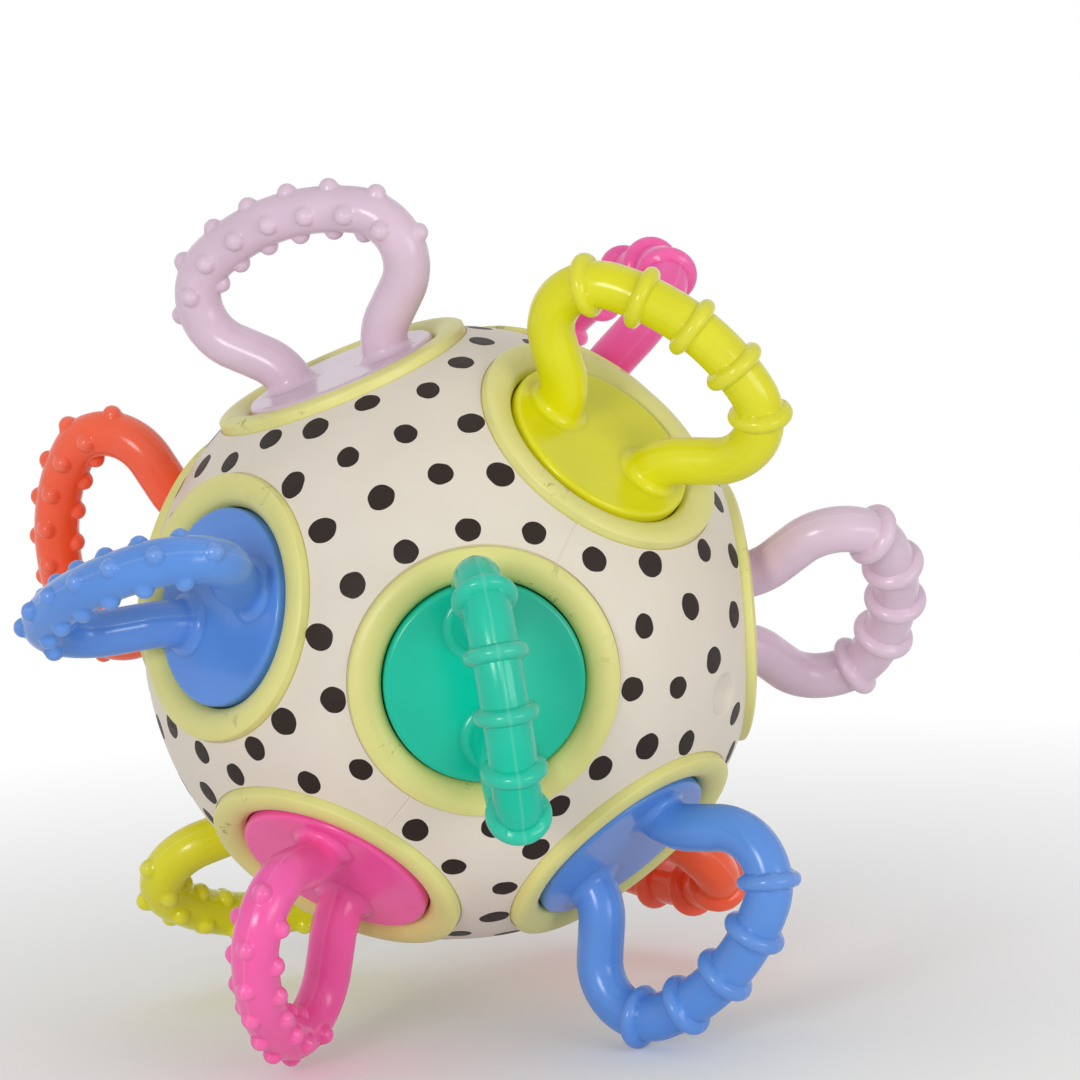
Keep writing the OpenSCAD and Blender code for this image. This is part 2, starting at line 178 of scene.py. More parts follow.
class SENSORYBALL_PG_sizes(bpy.types.PropertyGroup):
    """Sizes of the ball, its rings and its handles"""

    ball_r: length("Ball radius", 45, "Outer radius of the hollow ball")
    seam_depth: length("Seam depth", 0.16, "Depth of the fine parting line")
    seam_width: length("Seam half width", 0.22, "Half the width of the parting line")
    recess_r: length("Recess radius", 19.4, "Radius of the flat recess under a bezel ring")
    bore_r: length("Socket radius", 15.9, "Inner radius of a socket")
    recess_edge: length("Recess edge", 0.08, "Soft edge of the recess under a bezel ring")
    ledge_r: length("Ledge radius", 9, "Radius of the opening in a socket's ledge")
    bezel_r: length("Bezel radius", 19.2, "Outer radius of a bezel ring")
    opening_r: length("Opening radius", 14.5, "Radius of the opening in a bezel ring")
    skirt_wall: length("Skirt wall", 1.25, "Wall of the skirt that plugs a bezel ring into its socket")
    bezel_side: length("Bezel side", 1.2, "Height of the straight outer side of a bezel ring")
    bezel_lip: length("Bezel lip", 0.1, "Height of the opening's edge above the ring's foot")
    crown_r: length("Crown radius", 3.1, "Radius of the rounded top of a bezel ring")
    side_fillet: length("Side fillet", 0.35, "Radius between a bezel ring's side and its crown")
    edge_fillet: length("Edge fillet", 0.25, "Radius on a bezel's inner edge and on a plunger's lower edges")
    seat_drop: length("Seat drop", 0.3, "Depth of the bezel's seat below the foot of the ring")
    travel: length("Travel", 3, "Distance that a plunger pulls out")
    face_rise: length("Face rise", 1.6, "Height of a plunger's face above the opening's edge")
    plunger_gap: length("Plunger gap", 0.22, "Radial gap between a plunger and its bezel ring")
    face_t: length("Face thickness", 2.5, "Thickness of a plunger's face")
    cup_depth: length("Cup depth", 5.8, "Depth of a plunger's side below its face")
    cup_wall: length("Cup wall", 1.5, "Wall of a plunger's side")
    cup_lift: length("Cup lift", 2.1, "Height of a plunger's lower edge above its slider")
    rim_r: length("Rim radius", 0.7, "Radius on the rim of a plunger's face")
    cup_fillet: length("Cup fillet", 0.3, "Radius inside a plunger's cup")
    boss_r: length("Boss radius", 4.6, "Radius of the boss that takes the swivel screw")
    pilot_r: length("Pilot radius", 1.55, "Radius of the hole for the swivel screw's thread")
    pilot_l: length("Pilot depth", 5.05, "Depth of the hole for the swivel screw's thread")
    slider_t: length("Slider thickness", 1.6, "Thickness of a slider's disc")
    seat_gap: length("Seat gap", 0.3, "Gap between a resting piece and its seat")
    bar_r: length("Bar radius", 3.4, "Radius of a handle's round bar")
    foot_gap: length("Foot gap", 15.6, "Distance between the middles of a handle's two feet")
    foot_bend: length("Foot bend", 8.4, "Radius of the bend at each foot")
    leg: length("Leg", 4.8, "Length of the straight stretch of each leg")
    shoulder_r: length("Shoulder radius", 7.8, "Radius of a handle's shoulders")
    top_r: length("Top radius", 30.8, "Radius of a handle's long top arc")
    foot_blend: length("Foot blend", 1.5, "Radius of the blend between a foot and the plunger's face")
    foot_sink: length("Foot sink", 0.005, "Depth below the face at which the blend ends")
    foot_skirt: length("Foot skirt", 0.15, "Distance that the blend runs on under the face")
    nub_r: length("Nub radius", 1.45, "Radius of a nub")
    nub_h: length("Nub height", 1.2, "Height of a nub above the bar")
    nub_pitch: length("Nub pitch", 6, "Distance between nubs along the bar")
    rib_r: length("Rib radius", 1.2, "Radius of a rib's round section")
    rib_h: length("Rib height", 1.25, "Height of a rib above the bar")
    rib_pitch: length("Rib pitch", 8.2, "Distance between ribs along the bar")
    relief_fillet: length("Relief fillet", 0.16, "Reach of the fillet round a nub or rib")
    flash_h: length("Flash height", 0.07, "Height of the fine mould line along a handle")
    flash_w: length("Flash width", 0.16, "Half the width of the mould line")
    flash_fade: length("Flash fade", 0.5, "Depth of the foot's blend in which the mould line fades out")
    dot_r: length("Dot radius", 1.9, "Mean radius of a printed dot")
    dot_pitch: length("Dot pitch", 6.6, "Least distance between the middles of two dots")
    dot_ring_gap: length("Dot to ring", 2.3, "Least distance from the middle of a dot to a bezel ring")
    dot_seam_gap: length("Dot to seam", 1.6, "Least distance from the edge of a dot to the parting line")
    dot_plug_gap: length("Dot to plug", 1.2, "Least distance from the edge of a dot to a screw plug")
    plug_r: length("Plug radius", 3.7, "Radius of a screw plug's recess")
    plug_t: length("Plug thickness", 2.4, "Thickness of a screw plug")
    plug_slit: length("Plug slit", 0.015, "Radial gap round a screw plug")
    plug_edge: length("Plug edge", 1.0, "Radius of the rounded edge of a plug's seat")
    plug_dish: length("Plug dish", 1.25, "Depth of the bowl in a plug's face")
    plug_slope: tilt("Plug slope", 38, "Steepest slope of the rounded edge of a plug's seat")
    flare: tilt("Flare", 49, "Angle by which a handle's legs flare outwards")


class SENSORYBALL_PG_colours(bpy.types.PropertyGroup):
    """Colours of the plastics, the silicone and the ink"""

    shell: colour("Shell", 227, 217, 202, "Cream plastic of the ball")
    ink: colour("Ink", 38, 25, 19, "Ink of the printed dots")
    bezel: colour("Bezel", 226, 221, 138, "Lime plastic of the bezel rings")
    slider: colour("Slider", 205, 205, 198, "Plastic of the sliders")
    steel: colour("Steel", 190, 192, 196, "Plated steel of the screws")
    pink: colour("Pink", 250, 97, 174, "Pink silicone")
    teal: colour("Teal", 0, 194, 162, "Teal silicone")
    yellow: colour("Yellow", 224, 220, 14, "Yellow silicone")
    blue: colour("Blue", 92, 146, 224, "Blue silicone")
    purple: colour("Purple", 221, 195, 213, "Lilac silicone")
    orange: colour("Orange", 255, 97, 58, "Orange silicone")


class SENSORYBALL_PG_stage(bpy.types.PropertyGroup):
    """Camera and light"""

    azimuth: tilt("Azimuth", 6.78, "Direction in which the camera looks, from +Y towards +X")
    elevation: tilt("Elevation", 9.25, "Angle by which the camera looks down")
    roll: tilt("Roll", -3.13, "Turn of the camera about its own axis")
    distance: length("Distance", 900, "Distance of the camera from its aim")
    aim: bpy.props.FloatVectorProperty(
        name="Aim", description="Point that the camera looks at", default=(0.0139, 0.0004, 0.0126),
        subtype="TRANSLATION", size=3,
    )
    lens: number("Lens", 204.4, "Focal length in millimetres")
    key_power: number("Key power", 4.6, "Power of the key light in watts")
    front_power: number("Front power", 6.4, "Power of the front light in watts")
    top_power: number("Top power", 0.4, "Power of the top light in watts")
    sky: number("Sky", 0.52, "Strength of the even light all round")


def sizes():
    return bpy.context.scene.sensory_ball_sizes


def colours():
    return bpy.context.scene.sensory_ball_colours


def studio():
    return bpy.context.scene.sensory_ball_stage


def turned(axis, degrees):
    """Rotation matrix about a main axis."""
    return np.array(Matrix.Rotation(math.radians(degrees), 3, axis))


def laid():
    """Rotation from the frame of the parting line, with its axis along Z, to the frame of the part."""
    return turned("Y", -POLAR_LATITUDE) @ turned("Z", HEADING)


def socket_frame(azimuth, side, spin=0):
    """Rotation from a socket's own frame, with its axis along Z, to the frame of the part."""
    return laid() @ turned("Z", azimuth) @ turned("Y", 90 - side * POLAR_LATITUDE) @ turned("Z", spin)


def plug_frame(azimuth):
    """Rotation from a screw plug's own frame, with its axis along Z, to the frame of the part."""
    return laid() @ turned("Z", azimuth) @ turned("Y", 90 + PLUG_LATITUDE)


class Heights:
    """Heights along a socket's axis, from the ball's centre, worked out from the sizes."""

    def __init__(self, s):
        self.foot = math.sqrt(s.ball_r**2 - s.bezel_r**2)
        self.seat = self.foot - s.seat_drop
        self.lip = self.foot + s.bezel_lip
        self.face = self.lip + s.face_rise
        self.cup = self.face - s.cup_depth
        self.slider = self.cup - s.cup_lift - s.slider_t
        self.ledge = self.slider - s.seat_gap
        self.skirt = self.slider + s.slider_t + s.travel + s.seat_gap
        self.boss = self.slider + s.slider_t + s.seat_gap


def grid_faces(rows, columns, closed_rows=False):
    """Quads of a grid of points whose columns wrap round; rows wrap too when closed_rows is set."""
    row = np.arange(rows if closed_rows else rows - 1)
    column = np.arange(columns)
    r, c = np.meshgrid(row, column, indexing="ij")
    below, right = (r + 1) % rows, (c + 1) % columns
    quads = [r * columns + c, r * columns + right, below * columns + right, below * columns + c]
    return np.stack(quads, axis=-1).reshape(-1, 4)


def revolved(profile, columns, closed=False):
    """Surface of revolution: the profile's points (r, z) stand at equal steps of angle round Z."""
    profile = np.asarray(profile, dtype=float)
    angle = np.arange(columns) * 2 * math.pi / columns
    x = np.outer(profile[:, 0], np.cos(angle))
    y = np.outer(profile[:, 0], np.sin(angle))
    z = np.repeat(profile[:, 1:2], columns, axis=1)
    return np.stack([x, y, z], axis=-1).reshape(-1, 3), grid_faces(len(profile), columns, closed)


def rounded(corners, steps=5, closed=False):
    """Outline through corners (x, y, radius): each corner becomes an arc tangent to its two sides.

    The tangent points lie at radius / tan(half the corner's angle) from it, and the arc is drawn by
    turning the radius that ends in the first tangent point about the arc's centre."""
    corners = np.asarray(corners, dtype=float)
    outline = []
    for k, (x, y, radius) in enumerate(corners):
        here = np.array([x, y])
        if radius == 0 or (not closed and k in (0, len(corners) - 1)):
            outline.append(here)
            continue
        before = corners[k - 1, :2] - here
        after = corners[(k + 1) % len(corners), :2] - here
        before, after = before / np.linalg.norm(before), after / np.linalg.norm(after)
        half = math.acos(np.clip(before @ after, -1, 1)) / 2
        middle = (before + after) / np.linalg.norm(before + after)
        centre = here + middle * radius / math.sin(half)
        start = here + before * radius / math.tan(half) - centre
        sweep = (math.pi - 2 * half) * np.sign(before[1] * after[0] - before[0] * after[1])
        for turn in np.linspace(0, sweep, steps):
            spin = np.array([[math.cos(turn), -math.sin(turn)], [math.sin(turn), math.cos(turn)]])
            outline.append(centre + spin @ start)
    return np.array(outline)


def make_piece(name, parts, finish, body, slot, replaced, sharp=32, **marks):
    """One object from several grids of points and faces, riding on its body and standing for CAD nodes.

    Each mark is an array with a number for each point of the first parts, kept as an attribute."""
    points, faces, count = [], [], 0
    for part_points, *part_faces in parts:
        points.append(part_points)
        faces += [face for group in part_faces for face in (group + count).tolist()]
        count += len(part_points)
    mesh = bpy.data.meshes.new(name)
    mesh.from_pydata(np.concatenate(points).tolist(), [], faces)
    for mark, values in marks.items():
        every = np.zeros(count)
        every[:len(values)] = values
        mesh.attributes.new(mark, "FLOAT", "POINT").data.foreach_set("value", every)
    surface = bmesh.new()
    surface.from_mesh(mesh)
    bmesh.ops.delete(surface, geom=[v for v in surface.verts if not v.link_faces], context="VERTS")
    bmesh.ops.remove_doubles(surface, verts=surface.verts, dist=MM / 10000)
    bmesh.ops.recalc_face_normals(surface, faces=surface.faces)
    surface.to_mesh(mesh)
    surface.free()
    mesh.polygons.foreach_set("use_smooth", np.ones(len(mesh.polygons), dtype=bool))
    mesh.set_sharp_from_angle(angle=math.radians(sharp))
    mesh.materials.append(finish)
    piece = bpy.data.objects.new(name, mesh)
    bpy.context.scene.collection.objects.link(piece)
    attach(piece, body)
    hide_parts(*replaced)
    return piece


class Value:
    """A shader socket on which + - and * add Math nodes."""

    def __init__(self, tree, socket):
        self.tree = tree
        self.socket = socket

    def math(self, operation, first, second):
        node = self.tree.nodes.new("ShaderNodeMath")
        node.operation = operation
        for slot, value in zip(node.inputs, (first, second)):
            if isinstance(value, Value):
                self.tree.links.new(value.socket, slot)
            else:
                slot.default_value = value
        return Value(self.tree, node.outputs[0])

    def __add__(self, other):
        return self.math("ADD", self, other)

    def __radd__(self, other):
        return self.math("ADD", other, self)

    def __sub__(self, other):
        return self.math("SUBTRACT", self, other)

    def __rsub__(self, other):
        return self.math("SUBTRACT", other, self)

    def __mul__(self, other):
        return self.math("MULTIPLY", self, other)

    def __rmul__(self, other):
        return self.math("MULTIPLY", other, self)


class Finish:
    """A material whose nodes all come from one method."""

    def __init__(self, name):
        self.material = bpy.data.materials.new(name)
        self.material.use_nodes = True
        self.tree = self.material.node_tree
        self.shader = self.tree.nodes["Principled BSDF"]
        self.place = self.node("ShaderNodeTexCoord", out="Object")

    def node(self, kind, out=0, settings=None, **inputs):
        """Adds a node: its settings first, then the values or links of its sockets."""
        node = self.tree.nodes.new(kind)
        for key, value in (settings or {}).items():
            setattr(node, key, value)
        for key, value in inputs.items():
            slot = node.inputs[int(key[1:])] if key[0] == "_" else node.inputs[key]
            if isinstance(value, Value):
                self.tree.links.new(value.socket, slot)
            else:
                slot.default_value = value
        return Value(self.tree, node.outputs[out])

    def noise(self, scale, detail=2.0, roughness=0.5, distortion=0.0):
        """Noise on Object coordinates, with its scale in cells to a metre."""
        return self.node(
            "ShaderNodeTexNoise", settings={"noise_dimensions": "3D"},
            Vector=self.place, Scale=scale, Detail=detail, Roughness=roughness, Distortion=distortion,
        )

    def step(self, value, low, high):
        """0 below low, 1 above high, straight between."""
        return self.node("ShaderNodeMapRange", _0=value, _1=low, _2=high, _3=0.0, _4=1.0)

    def mix(self, factor, first, second):
        """Mix of two colours."""
        return self.node(
            "ShaderNodeMix", out=2, settings={"data_type": "RGBA"},
            _0=factor, _6=self.opaque(first), _7=self.opaque(second),
        )

    @staticmethod
    def opaque(shade):
        return shade if isinstance(shade, Value) else (*shade, 1.0)

    def mark(self, name):
        """A number that the mesh keeps for each point."""
        return self.node("ShaderNodeAttribute", out="Fac", settings={"attribute_name": name})

    def bump(self, height, distance, strength=1.0):
        return self.node("ShaderNodeBump", Height=height, Distance=distance, Strength=strength)

    def set(self, **values):
        """Sets the shader's sockets, with an underscore for each blank in a socket's name."""
        for key, value in values.items():
            slot = self.shader.inputs[key.replace("_", " ")]
            if isinstance(value, Value):
                self.tree.links.new(value.socket, slot)
            else:
                slot.default_value = value
        return self.material


def scaled(shade, factor):
    """A colour made lighter or darker by one factor."""
    return tuple(min(1.0, channel * factor) for channel in shade)


def shell_plastic():
    """Satin cream plastic: faint cloudiness and a fine spark-eroded grain."""
    f = Finish("cream_plastic")
    cloud = f.noise(60, detail=3)
    grain = f.noise(3200, detail=2)
    shade = tuple(colours().shell)
    return f.set(
        Base_Color=f.mix(f.step(cloud, 0.35, 0.65), scaled(shade, 0.965), scaled(shade, 1.02)),
        Roughness=0.4 + cloud * 0.12,
        IOR=1.48,
        Normal=f.bump(grain, 0.02 * MM, 0.35),
    )


def dot_ink():
    """Matt pad-printing ink: nearly black brown with thin spots that let a little cream through."""
    f = Finish("dot_ink")
    thin = f.step(f.noise(900, detail=3), 0.58, 0.74)
    shade = tuple(colours().ink)
    return f.set(
        Base_Color=f.mix(thin * 0.25, shade, scaled(shade, 3.0)),
        Roughness=0.5 + thin * 0.2,
        IOR=1.33,
        Normal=f.bump(f.noise(2600), 0.02 * MM, 0.4),
    )


def bezel_plastic():
    """Semi-gloss lime plastic with a few dark scuffs on the raised edge."""
    f = Finish("bezel_plastic")
    cloud = f.noise(90, detail=3)
    streak = f.noise(420, detail=5, roughness=0.7, distortion=0.6)
    patch = f.step(f.noise(70), 0.58, 0.66)
    scuff = f.step(streak, 0.58, 0.64) * patch
    shade = tuple(colours().bezel)
    body = f.mix(f.step(cloud, 0.3, 0.7), scaled(shade, 0.96), scaled(shade, 1.03))
    return f.set(
        Base_Color=f.mix(scuff * 0.55, body, scaled(shade, 0.25)),
        Roughness=0.33 + cloud * 0.1 + scuff * 0.2,
        IOR=1.48,
        Normal=f.bump(f.noise(2600), 0.02 * MM, 0.3),
    )


def silicone(name):
    """Soft satin silicone: a soft sheen, faint dust and bloom, a little light that passes through, and a
    painted glow on nubs, ribs and the mould line.
    """
    f = Finish(name + "_silicone")
    cloud = f.noise(110, detail=3)
    dust = f.step(f.noise(1500, detail=4, roughness=0.65), 0.66, 0.8)
    shade = tuple(getattr(colours(), name))
    body = f.mix(f.step(cloud, 0.3, 0.7), scaled(shade, 0.95), scaled(shade, 1.04))
    # Nubs, ribs and the mould line are painted paler, a painted glow that stands in for light passing
    # through thin silicone and for the highlights on it;
    # faint dust and a pale bloom lie in patches on the surface and are the silicone's own
    bloom = f.step(f.noise(45), 0.45, 0.7)
    thin = f.mark("relief") * 0.045 + f.mark("mould") * 0.07 + dust * 0.06 + bloom * 0.025
    return f.set(
        Base_Color=f.mix(thin, body, (0.9, 0.9, 0.9)),
        Roughness=0.15 + cloud * 0.09 + dust * 0.12,
        IOR=1.39,
        Subsurface_Weight=0.12,
        Subsurface_Radius=(1.0, 1.0, 1.0),
        Subsurface_Scale=1.2 * MM,
        Normal=f.bump(cloud + f.noise(1800) * 0.2, 0.05 * MM, 0.5),
    )


def slider_plastic():
    """Matt light plastic of the inner sliders, with a fine grain."""
    f = Finish("slider_plastic")
    cloud = f.noise(200, detail=3)
    shade = tuple(colours().slider)
    return f.set(
        Base_Color=f.mix(cloud, scaled(shade, 0.92), shade),
        Roughness=0.45 + cloud * 0.15,
        Normal=f.bump(f.noise(3000), 0.02 * MM, 0.4),
    )


def screw_steel():
    """Plated steel of the screws, brightest where it is rubbed."""
    f = Finish("screw_steel")
    worn = f.step(f.noise(700, detail=4), 0.4, 0.7)
    shade = tuple(colours().steel)
    return f.set(
        Base_Color=f.mix(worn, scaled(shade, 0.8), shade),
        Metallic=1.0,
        Roughness=0.38 - worn * 0.14,
        Normal=f.bump(f.noise(2400), 0.02 * MM, 0.5),
    )


def ball_grid(s):
    """Points of the ball by latitude and azimuth; the radius dips in a V along the parting line."""
    near = np.array(SEAM_ROWS) * math.degrees(s.seam_width / s.ball_r)
    even = np.linspace(-90, 90, BALL_ROWS)
    even = even[np.abs(even) > near[-1] * SEAM_MARGIN]
    latitude = np.radians(np.sort(np.concatenate([even, near])))
    azimuth = np.arange(BALL_COLUMNS) * 2 * math.pi / BALL_COLUMNS
    la, az = np.meshgrid(latitude, azimuth, indexing="ij")
    radius = s.ball_r - s.seam_depth * np.clip(1 - np.abs(la) * s.ball_r / s.seam_width, 0, 1)
    ball = np.stack([np.cos(la) * np.cos(az), np.cos(la) * np.sin(az), np.sin(la)], axis=-1)
    return (radius[..., None] * ball).reshape(-1, 3), grid_faces(len(latitude), BALL_COLUMNS)


def open_ball(points, quads, holes):
    """Cuts round holes in the ball: faces wholly inside a hole go, and points left inside move straight
    out to the hole's radius. Each open edge is then lined, ring after ring, with the hole's profile of
    radii and heights, and closed with a fan at the bottom."""
    hole_of = np.full(len(points), -1)
    for k, (axis, radius, _) in enumerate(holes):
        along = points @ axis
        across = points - along[:, None] * axis
        away = np.linalg.norm(across, axis=1)
        inside = (away < radius) & (along > 0)
        reach = np.linalg.norm(points[inside], axis=1)
        moved = across[inside] / np.maximum(away[inside], MM / 1000)[:, None] * radius
        points[inside] = moved + np.sqrt(reach**2 - radius**2)[:, None] * axis
        hole_of[inside] = k
    quads = quads[(hole_of[quads] < 0).any(axis=1)]
    edges = np.concatenate([quads[:, [k, (k + 1) % 4]] for k in range(4)])
    _, first, count = np.unique(np.sort(edges, axis=1), axis=0, return_index=True, return_counts=True)
    rims = edges[first[count == 1]]
    rims = rims[(hole_of[rims] >= 0).all(axis=1)]
    fans = []
    for k, (axis, radius, profile) in enumerate(holes):
        rim = rims[hole_of[rims[:, 0]] == k]
        ring, place = np.unique(rim, return_inverse=True)
        place = place.reshape(rim.shape)
        across = points[ring] - (points[ring] @ axis)[:, None] * axis
        outward = across / np.linalg.norm(across, axis=1)[:, None]
        upper = rim
        for level_r, level_z in profile:
            lower = place + len(points)
            points = np.concatenate([points, outward * level_r + axis * level_z])
            wall = np.stack([upper[:, 1], upper[:, 0], lower[:, 0], lower[:, 1]], axis=1)
            quads = np.concatenate([quads, wall])
            upper = lower
        fans.append(np.stack([upper[:, 1], upper[:, 0], np.full(len(rim), len(points))], axis=1))
        points = np.concatenate([points, [axis * profile[-1][1]]])
    return points, quads, np.concatenate(fans)


class SENSORYBALL_OT_shell(bpy.types.Operator):
    """Makes the ball's skin with its sockets, plug seats and parting line"""

    bl_idname = "sensory_ball.shell"
    bl_label = "Ball shell"

    def execute(self, context):
        s, h = sizes(), Heights(sizes())
        edge = math.sqrt(s.ball_r**2 - s.recess_r**2)
        wall_r = s.recess_r - s.recess_edge / 2
        # Radii and heights of a socket from its mouth down to some way below its ledge
        socket = [
            (wall_r, edge - s.recess_edge), (wall_r, h.seat), (s.bore_r, h.seat), (s.bore_r, h.ledge),
            (s.ledge_r, h.ledge), (s.ledge_r, h.ledge - 2 * s.slider_t),
        ]
        rim = math.sqrt(s.ball_r**2 - s.plug_r**2)
        # The edge of a plug's seat is an arc that leaves the ball level and steepens down to the plug
        turn = np.linspace(0, s.plug_slope, SEAT_STEPS)[1:]
        edge_r = s.plug_edge
        seat = [(s.plug_r - edge_r * math.sin(a), rim - edge_r * (1 - math.cos(a))) for a in turn]
        seat.append((seat[-1][0], rim - s.plug_dish - s.plug_t))
        holes = [(socket_frame(azimuth, side)[:, 2], s.recess_r, socket) for _, azimuth, side, _ in PODS]
        holes += [(plug_frame(azimuth)[:, 2], s.plug_r, seat) for azimuth in PLUG_AZIMUTHS]
        points, quads = ball_grid(s)
        skin = open_ball(points @ laid().T, quads, holes)
        halves = ("shell_upper", "shell_lower")
        make_piece("ball_shell", [skin], shell_plastic(), "ball", "shell_plastic", halves)
        return {"FINISHED"}


def clear_of_rings(directions, s):
    """True where a dot's middle keeps clear of the bezel rings, the plugs and the parting line."""
    rings = np.array([socket_frame(azimuth, side)[:, 2] for _, azimuth, side, _ in PODS])
    plugs = np.array([plug_frame(azimuth)[:, 2] for azimuth in PLUG_AZIMUTHS])
    pole = laid()[:, 2]
    ring_clear = math.cos(math.asin(s.bezel_r / s.ball_r) + s.dot_ring_gap / s.ball_r)
    plug_clear = math.cos((s.plug_r + s.dot_r + s.dot_plug_gap) / s.ball_r)
    seam_clear = math.sin((s.dot_r + s.dot_seam_gap) / s.ball_r)
    free = (directions @ rings.T).max(axis=1) < ring_clear
    free &= (directions @ plugs.T).max(axis=1) < plug_clear
    return free & (np.abs(directions @ pole) > seam_clear)


def scatter_dots(s):
    """Directions of the dots: seeded darts that land at least one pitch apart, then pushed apart in
    small steps by every neighbour that is nearer than a pitch and a half."""
    rng = np.random.default_rng(DOT_SEED)
    darts = rng.normal(size=(DARTS, 3))
    darts /= np.linalg.norm(darts, axis=1)[:, None]
    darts = darts[clear_of_rings(darts, s)]
    apart = math.cos(s.dot_pitch / s.ball_r)
    dots = darts[:1]
    for dart in darts[1:]:
        if (dots @ dart).max() < apart:
            dots = np.vstack([dots, dart])
    reach = DOT_REACH * s.dot_pitch / s.ball_r
    for _ in range(DOT_STEPS):
        gap = dots[:, None] - dots[None]
        # A dot is set far from itself, so that it doesn't push itself
        far = np.linalg.norm(gap, axis=-1) + np.eye(len(dots)) * 9
        push = (np.clip(reach - far, 0, None) / far)[..., None] * gap
        moved = dots + push.sum(axis=1) * DOT_PUSH
        moved /= np.linalg.norm(moved, axis=1)[:, None]
        free = clear_of_rings(moved, s)
        dots = np.where(free[:, None], moved, dots)
    return dots


def dot_outlines(s, count, turn):
    """Radius of each dot at each turn: an ellipse that leans at random, with small random waves on it."""
    rng = np.random.default_rng(DOT_SEED + 1)
    lean = rng.uniform(0, math.pi, (count, 1))
    outline = 1 + DOT_SQUASH * np.cos(2 * (turn - lean)) * rng.uniform(0.2, 1.3, (count, 1))
    for waves, height in DOT_WAVES:
        outline = outline + height * np.cos(waves * turn + rng.uniform(0, 6.3, (count, 1)))
    return outline * s.dot_r * rng.uniform(0.9, 1.1, (count, 1))


def dot_grid(s, middles):
    """Rings of every dot, laid on the ball: a point stands at the angle radius / ball radius from the
    dot's middle, in the direction that its turn gives."""
    turn = np.arange(DOT_COLUMNS) * 2 * math.pi / DOT_COLUMNS
    outline = dot_outlines(s, len(middles), turn)
    side = np.cross(middles, SLANT)
    side /= np.linalg.norm(side, axis=1)[:, None]
    other = np.cross(middles, side)
    along = np.cos(turn)[:, None] * side[:, None] + np.sin(turn)[:, None] * other[:, None]
    rings = []
    for share, rise in DOT_SECTION:
        spread = share * outline / s.ball_r
        point = np.cos(spread)[..., None] * middles[:, None] + np.sin(spread)[..., None] * along
        rings.append(point * (s.ball_r + rise * MM))
    first = np.arange(len(middles)) * len(DOT_SECTION) * DOT_COLUMNS
    faces = grid_faces(len(DOT_SECTION), DOT_COLUMNS)[None] + first[:, None, None]
    return np.stack(rings, axis=1).reshape(-1, 3), faces.reshape(-1, 4)


class SENSORYBALL_OT_dots(bpy.types.Operator):
    """Prints the dots on the ball"""

    bl_idname = "sensory_ball.dots"
    bl_label = "Printed dots"

    def execute(self, context):
        s = sizes()
        dots = dot_grid(s, scatter_dots(s))
        make_piece("printed_dots", [dots], dot_ink(), "ball", "shell_plastic", ())
        return {"FINISHED"}


class SENSORYBALL_OT_plugs(bpy.types.Operator):
    """Makes the dished plugs over the case screws"""

    bl_idname = "sensory_ball.plugs"
    bl_label = "Screw plugs"

    def execute(self, context):
        s = sizes()
        rim = math.sqrt(s.ball_r**2 - s.plug_r**2)
        radius = s.plug_r - s.plug_edge * math.sin(s.plug_slope) - s.plug_slit
        edge = rim - s.plug_edge * (1 - math.cos(s.plug_slope))
        # The face is a bowl: its depth falls with the square of the distance from the middle
        bowl = [(x * radius, edge - s.plug_dish * (1 - x**2)) for x in np.linspace(0, 1, PLUG_RINGS)]
        low = edge - s.plug_t
        profile = bowl + [(radius, low), (0, low)]
        points, quads = revolved(profile, PLUG_COLUMNS)
        parts = [(points @ plug_frame(azimuth).T, quads) for azimuth in PLUG_AZIMUTHS]
        finish = bpy.data.materials["cream_plastic"]
        make_piece("well_plugs", parts, finish, "ball", "shell_plastic", ("screw_plugs",))
        return {"FINISHED"}


class SENSORYBALL_OT_bezels(bpy.types.Operator):
    """Makes the twelve bezel rings"""

    bl_idname = "sensory_ball.bezels"
    bl_label = "Bezel rings"

    def execute(self, context):
        s, h = sizes(), Heights(sizes())
        shoulder = np.array([s.bezel_r, h.foot + s.bezel_side])
        lip = np.array([s.opening_r, h.lip])
        chord = np.linalg.norm(shoulder - lip)
        # The crown's centre lies on the line through the chord's middle, square to it
        away = np.array([lip[1] - shoulder[1], shoulder[0] - lip[0]]) / chord
        centre = (shoulder + lip) / 2 - away * math.sqrt(s.crown_r**2 - chord**2 / 4)
        start = math.atan2(*(shoulder - centre)[::-1])
        end = math.atan2(*(lip - centre)[::-1])
        arc = np.linspace(start, end, CROWN_STEPS)[1:-1]
        crown = [(*(centre + s.crown_r * np.array([math.cos(a), math.sin(a)])), 0) for a in arc]
        skirt_r = s.opening_r + s.skirt_wall
        corners = [(s.bezel_r, h.seat, 0), (*shoulder, s.side_fillet)] + crown + [
            (*lip, s.edge_fillet), (s.opening_r, h.skirt, 0), (skirt_r, h.skirt, 0), (skirt_r, h.seat, 0),
        ]
        points, quads = revolved(rounded(corners, closed=True), BEZEL_COLUMNS, closed=True)
        finish = bezel_plastic()
        for name, azimuth, side, _ in PODS:
            part = (points @ socket_frame(azimuth, side).T, quads)
            make_piece("bezel_ring_" + name, [part], finish, "ball", "bezel_plastic", ("bezel_" + name,))
        return {"FINISHED"}


